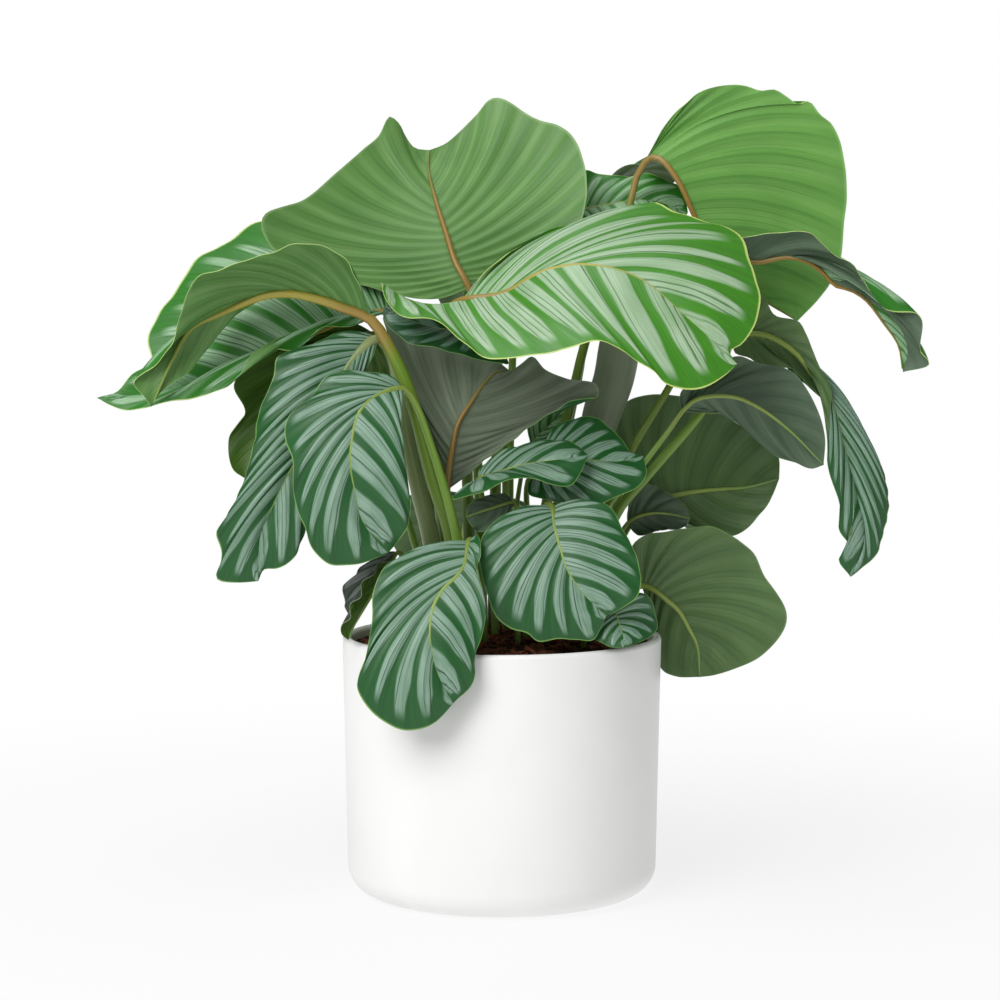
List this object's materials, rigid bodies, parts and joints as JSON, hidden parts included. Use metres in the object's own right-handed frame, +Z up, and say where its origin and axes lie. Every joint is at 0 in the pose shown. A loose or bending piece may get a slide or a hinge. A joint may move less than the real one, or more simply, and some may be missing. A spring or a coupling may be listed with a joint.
{
  "type": "potted calathea",
  "caption": "Round-leaved calathea house plant with striped leaves on long stalks, standing in soil in a plain white cylindrical pot.",
  "frame": {"origin": "centre of the pot's flat underside, which is also where the pot's own axis meets the surface it stands on", "axes": "+Z up along the pot's axis, -Y toward the fullest side of the plant, +X to the right of someone who faces that side"},
  "size_m": [0.6263, 0.4093, 0.6339],
  "materials": {
    "pot_ceramic": "satin",
    "potting_soil": "matte",
    "leaf": "satin",
    "young_leaf": "satin"
  },
  "bodies": {
    "root": {"pot": "pot_ceramic", "soil": "potting_soil", "leaf_crown_front": "leaf", "leaf_tall_back": "leaf", "leaf_left_striped": "leaf", "leaf_left_folded": "leaf", "leaf_left_hanging": "leaf", "leaf_left_rear": "leaf", "leaf_left_front": "leaf", "leaf_centre_upright": "leaf", "leaf_centre_dark": "leaf", "leaf_front_round": "leaf", "leaf_rim_small": "leaf", "leaf_over_pot": "leaf", "leaf_rim_folded": "leaf", "leaf_middle_small": "leaf", "leaf_middle_round": "leaf", "leaf_low_sprout": "leaf", "leaf_right_middle": "leaf", "leaf_right_drooping": "leaf", "leaf_right_folded": "leaf", "leaf_right_tall": "leaf", "leaf_right_rear": "leaf", "leaf_right_small": "leaf", "leaf_right_low": "leaf", "leaf_rear_striped": "leaf", "leaf_rear_small": "leaf", "leaf_rear_high": "leaf", "leaf_furled": "young_leaf", "leaf_far_left": "leaf", "leaf_far_middle": "leaf", "leaf_far_right": "leaf", "leaf_far_high": "leaf", "leaf_far_low_right": "leaf", "leaf_far_low": "leaf", "leaf_far_low_left": "leaf"}
  },
  "joints": []
}
